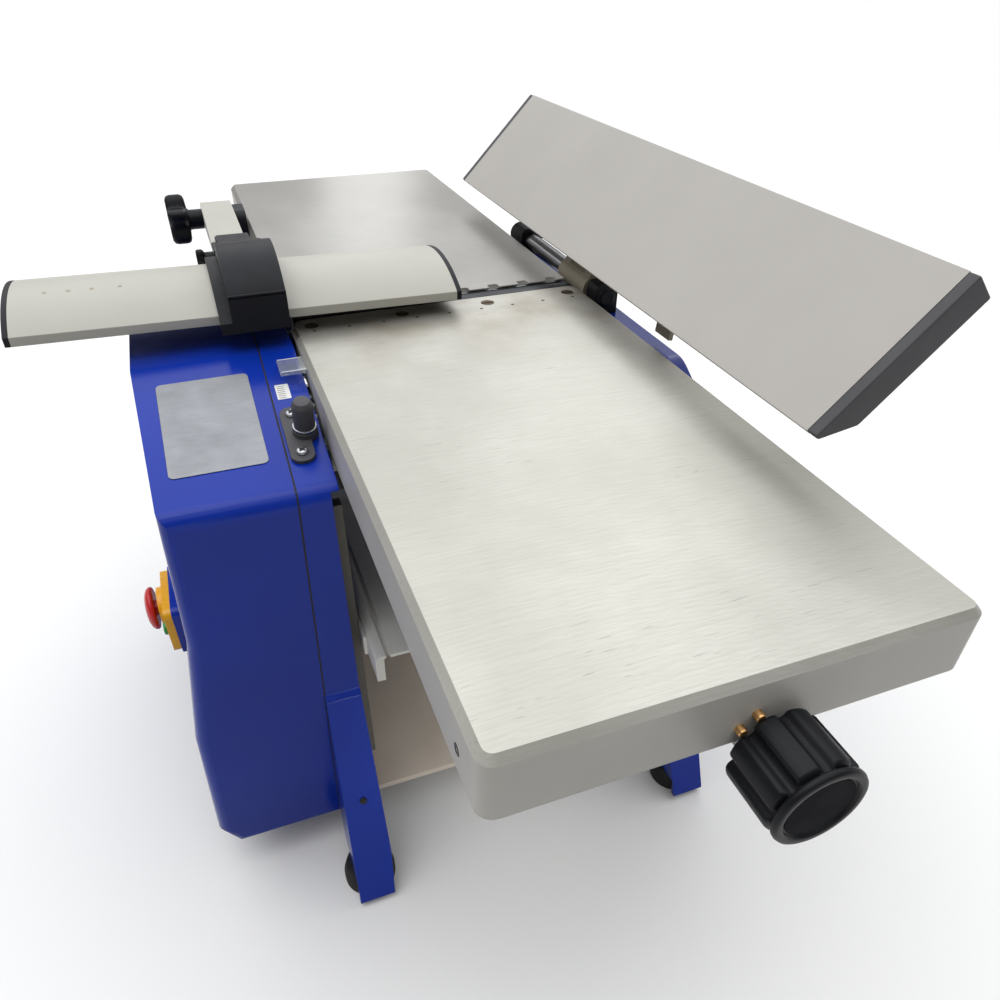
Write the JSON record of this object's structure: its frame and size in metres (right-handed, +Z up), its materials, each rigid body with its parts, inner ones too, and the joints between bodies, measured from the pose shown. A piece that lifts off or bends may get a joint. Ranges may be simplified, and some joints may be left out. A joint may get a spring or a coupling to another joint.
{
  "type": "planer thicknesser",
  "caption": "Benchtop planer thicknesser: infeed and outfeed tables over a cutter block, rising thicknessing bed, tilting fence, sliding bridge guard and belt drive in a side cover.",
  "frame": {"origin": "on the bench plane under the middle of the cutter axis, at the centre of the four bench bolt holes", "axes": "+X across the tables towards the fence, +Y along the feed from infeed to outfeed, +Z up"},
  "size_m": [0.5633, 0.99, 0.5477],
  "materials": {
    "blue_paint": "blue gloss paint on cast aluminium",
    "blue_plastic": "gloss",
    "table_metal": "ground top, painted sides",
    "fence_metal": "satin paint on extruded aluminium",
    "guard_metal": "satin paint on aluminium",
    "bare_steel": "machined",
    "chrome_shaft": "polished",
    "cast_metal": "die cast",
    "taupe_metal": "painted",
    "black_plastic": "satin",
    "black_metal": "satin black paint",
    "rubber": "matte",
    "bronze": "turned bronze",
    "clear_plastic": "clear acrylic",
    "yellow_plastic": "gloss",
    "red_plastic": "gloss",
    "green_plastic": "gloss"
  },
  "bodies": {
    "frame": {"left_casting": "blue_paint", "right_casting": "blue_paint", "side_cover": "blue_plastic", "base_tray": "taupe_metal", "tie_bars": "bare_steel", "guide_pins": "bare_steel", "rubber_feet": "rubber", "outfeed_table": "table_metal", "outfeed_bolts": "bare_steel", "cutter_bearings": "bare_steel", "motor": "black_metal", "feed_gearbox": "cast_metal", "roller_bushes": "bronze", "kickback_shaft": "bare_steel", "bed_guides": "bare_steel", "lift_pedestal": "cast_metal", "fence_shaft": "chrome_shaft", "fence_bracket": "black_plastic", "guard_post": "black_plastic", "switch_housing": "yellow_plastic", "lock_bracket": "black_plastic", "drive_belt": "rubber", "feed_belt": "rubber"},
    "infeed": {"infeed_table": "table_metal", "infeed_lip": "bare_steel", "lip_screws": "bare_steel", "depth_pointer": "clear_plastic"},
    "depth_dial": {"depth_knob": "black_plastic", "depth_screw": "bare_steel"},
    "cutter": {"cutter_block": "bare_steel", "planer_knives": "bare_steel", "gib_bars": "bare_steel", "cutter_pulleys": "cast_metal"},
    "motor_rotor": {"motor_pulley": "cast_metal"},
    "gearbox_input": {"gearbox_pulley": "cast_metal"},
    "gearbox_output": {"gearbox_gear": "bare_steel"},
    "roller_in": {"infeed_roller": "bare_steel"},
    "roller_out": {"outfeed_roller": "bare_steel"},
    "kickback": {"kickback_fingers": "bare_steel"},
    "bed": {"thickness_bed": "table_metal", "lift_screw": "bare_steel"},
    "lift_nut": {"lift_gear": "bronze"},
    "crank": {"crank_shaft": "bare_steel", "crank_arm": "bare_steel"},
    "grip": {"crank_grip": "black_plastic"},
    "fence": {"fence_profile": "fence_metal", "fence_end_caps": "black_plastic", "fence_arm": "taupe_metal"},
    "fence_lock": {"fence_lock_lever": "black_plastic"},
    "guard_swing_arm": {"guard_arm": "guard_metal", "arm_knuckle": "black_plastic"},
    "guard_saddle": {"guard_holder": "black_plastic", "guard_hinge_pin": "bare_steel"},
    "guard": {"guard_profile": "guard_metal", "guard_end_caps": "black_plastic"},
    "wing": {"guard_wing_knob": "black_plastic"},
    "star": {"arm_star_knob": "black_plastic"},
    "stop": {"stop_button": "red_plastic"},
    "start": {"start_button": "green_plastic"},
    "lock": {"lock_pin": "black_plastic"}
  },
  "joints": [
    {"name": "infeed_slide", "type": "slide", "parent": "frame", "child": "infeed", "axis": [0, -0.9397, -0.342], "range_m": [0, 0.00877]},
    {"name": "depth_knob_turn", "type": "hinge", "parent": "infeed", "child": "depth_dial", "pos_m": [0.012, -0.484, 0.39], "axis": [0, 1, 0], "range_deg": [0, 741.8]},
    {"name": "cutter_spin", "type": "hinge", "parent": "frame", "child": "cutter", "pos_m": [0, 0, 0.408], "axis": [1, 0, 0], "continuous": true},
    {"name": "motor_spin", "type": "hinge", "parent": "frame", "child": "motor_rotor", "pos_m": [-0.2, 0.105, 0.14], "axis": [1, 0, 0], "continuous": true},
    {"name": "gearbox_input_spin", "type": "hinge", "parent": "frame", "child": "gearbox_input", "pos_m": [-0.2, 0, 0.33403], "axis": [1, 0, 0], "continuous": true},
    {"name": "gearbox_output_spin", "type": "hinge", "parent": "frame", "child": "gearbox_output", "pos_m": [-0.16, 0, 0.33403], "axis": [1, 0, 0], "continuous": true},
    {"name": "infeed_roller_spin", "type": "hinge", "parent": "frame", "child": "roller_in", "pos_m": [0, -0.058, 0.392], "axis": [1, 0, 0], "continuous": true},
    {"name": "outfeed_roller_spin", "type": "hinge", "parent": "frame", "child": "roller_out", "pos_m": [0, 0.058, 0.392], "axis": [1, 0, 0], "continuous": true},
    {"name": "kickback_swing", "type": "hinge", "parent": "frame", "child": "kickback", "pos_m": [0, -0.097, 0.399], "axis": [1, 0, 0], "range_deg": [0, 60]},
    {"name": "bed_lift", "type": "slide", "parent": "frame", "child": "bed", "axis": [0, 0, 1], "range_m": [0, 0.117]},
    {"name": "lift_nut_turn", "type": "hinge", "parent": "frame", "child": "lift_nut", "pos_m": [0, 0, 0.1], "axis": [0, 0, 1], "range_deg": [-10530, 0]},
    {"name": "crank_turn", "type": "hinge", "parent": "frame", "child": "crank", "pos_m": [0.18, 0, 0.118], "axis": [1, 0, 0], "range_deg": [-10529, 0]},
    {"name": "crank_grip_spin", "type": "hinge", "parent": "crank", "child": "grip", "pos_m": [0.207, 0, 0.198], "axis": [1, 0, 0], "continuous": true},
    {"name": "fence_tilt", "type": "hinge", "parent": "frame", "child": "fence", "pos_m": [0.145, 0, 0.433], "axis": [0, -1, 0], "range_deg": [0, 45]},
    {"name": "fence_lock_turn", "type": "hinge", "parent": "frame", "child": "fence_lock", "pos_m": [0.145, 0.157, 0.433], "axis": [0, 1, 0], "range_deg": [-40, 0]},
    {"name": "guard_arm_swing", "type": "hinge", "parent": "frame", "child": "guard_swing_arm", "pos_m": [-0.16, 0.29, 0.443], "axis": [-1, 0, 0], "range_deg": [0, 24]},
    {"name": "guard_level", "type": "hinge", "parent": "guard_swing_arm", "child": "guard_saddle", "pos_m": [-0.16, 0.106, 0.461], "axis": [-1, 0, 0], "range_deg": [-24, 0]},
    {"name": "guard_slide", "type": "slide", "parent": "guard_saddle", "child": "guard", "axis": [0.9998, 0, -0.0209], "range_m": [-0.135, 0.088]},
    {"name": "wing_knob_turn", "type": "hinge", "parent": "guard_saddle", "child": "wing", "pos_m": [-0.185, 0.093, 0.46], "axis": [1, 0, 0], "range_deg": [0, 360]},
    {"name": "star_knob_turn", "type": "hinge", "parent": "frame", "child": "star", "pos_m": [-0.2, 0.29, 0.443], "axis": [1, 0, 0], "range_deg": [0, 360]},
    {"name": "stop_press", "type": "slide", "parent": "frame", "child": "stop", "axis": [1, 0, 0], "range_m": [0, 0.0025], "stiffness_N_per_m": 400},
    {"name": "start_press", "type": "slide", "parent": "frame", "child": "start", "axis": [1, 0, 0], "range_m": [0, 0.002], "stiffness_N_per_m": 400},
    {"name": "lock_pin_pull", "type": "slide", "parent": "frame", "child": "lock", "axis": [0, -0.2262, 0.9741], "range_m": [0, 0.008], "stiffness_N_per_m": 300}
  ],
  "couplings": [
    {"joint": "depth_knob_turn", "follows": "infeed_slide", "rad_per_m": 1476.1},
    {"joint": "motor_spin", "follows": "cutter_spin", "ratio": 0.38889},
    {"joint": "gearbox_input_spin", "follows": "cutter_spin", "ratio": 0.5},
    {"joint": "gearbox_output_spin", "follows": "cutter_spin", "ratio": 0.0125},
    {"joint": "infeed_roller_spin", "follows": "cutter_spin", "ratio": -0.034091},
    {"joint": "outfeed_roller_spin", "follows": "cutter_spin", "ratio": -0.034091},
    {"joint": "bed_lift", "follows": "crank_turn", "m_per_rad": -0.00063662},
    {"joint": "lift_nut_turn", "follows": "crank_turn", "ratio": 1},
    {"joint": "guard_level", "follows": "guard_arm_swing", "ratio": -1}
  ]
}
